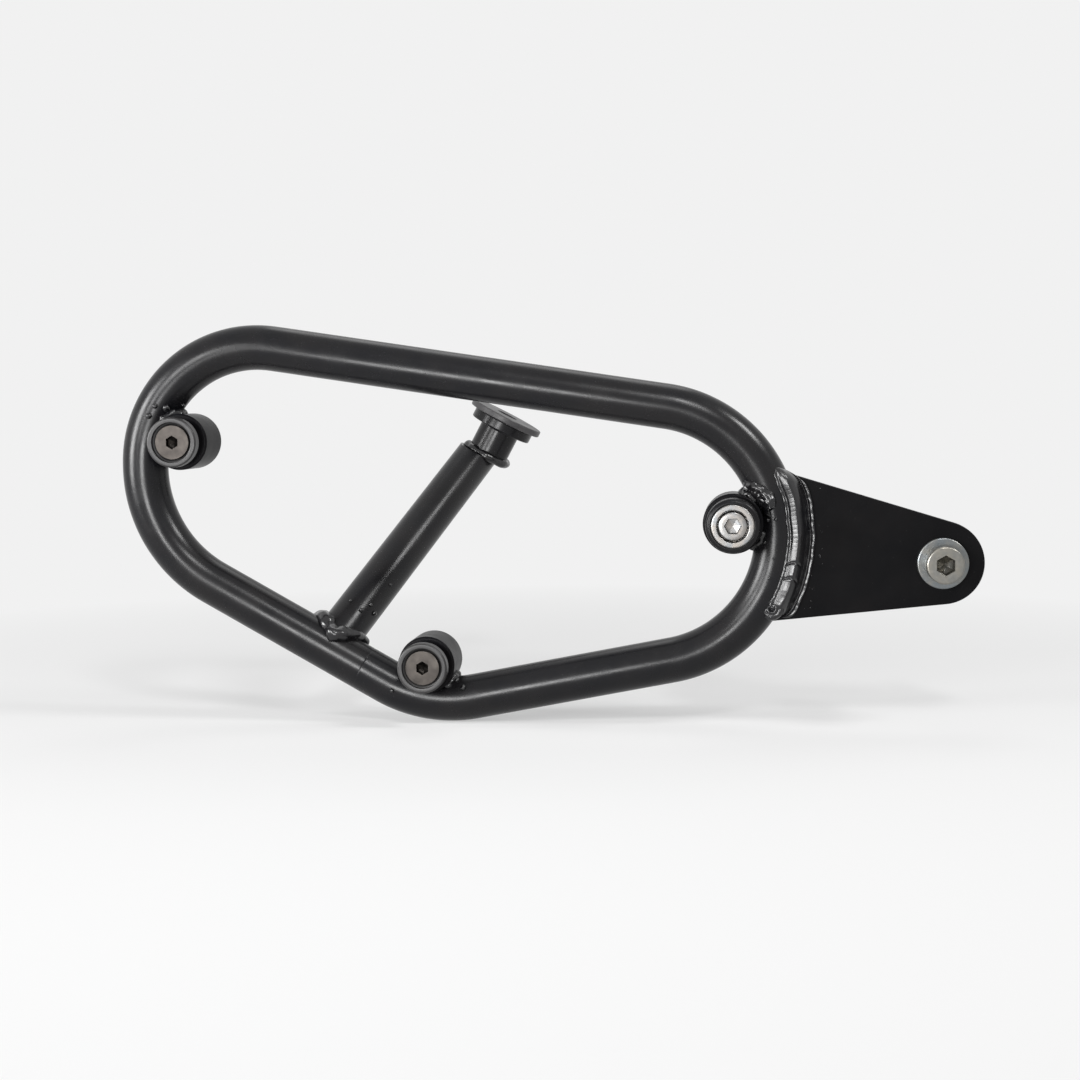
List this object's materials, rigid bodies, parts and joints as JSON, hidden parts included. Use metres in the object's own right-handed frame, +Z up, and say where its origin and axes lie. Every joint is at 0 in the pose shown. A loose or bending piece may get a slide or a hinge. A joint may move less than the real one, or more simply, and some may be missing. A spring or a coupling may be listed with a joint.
{
  "type": "pannier frame",
  "caption": "Right-hand frame beside a motorbike's rear wheel: a closed hoop of round tube with a bolted plate, a strut to a threaded bush, and studs that hold and lock a bag.",
  "frame": {"origin": "on the front bolt's axis, at the inner face of the mounting plate", "axes": "+X forward along the motorbike, +Y inboard along the front bolt's free end, +Z up"},
  "size_m": [0.3065, 0.1198, 0.142],
  "materials": {
    "black_coat": "satin black powder coat with a slight orange peel",
    "coated_weld": "satin black powder coat over a rippled weld",
    "stud_black": "matt black",
    "zinc": "dull bright zinc plate",
    "dark_screw": "tarnished steel, grey-brown"
  },
  "bodies": {
    "root": {"hoop_tube": "black_coat", "mounting_plate": "black_coat", "plate_weld": "coated_weld", "plate_bolt": "zinc", "plate_washer": "zinc", "strut_tube": "black_coat", "strut_foot_weld": "coated_weld", "threaded_bush": "black_coat", "bush_weld": "coated_weld", "bush_washer": "black_coat", "left_boss": "black_coat", "left_boss_weld": "coated_weld", "left_stud": "stud_black", "left_screw": "dark_screw", "bottom_boss": "black_coat", "bottom_boss_weld": "coated_weld", "bottom_stud": "stud_black", "bottom_screw": "dark_screw", "right_boss": "black_coat", "right_boss_weld": "coated_weld", "lock_collar": "stud_black", "lock_sleeve": "zinc", "lock_screw": "zinc"}
  },
  "joints": []
}
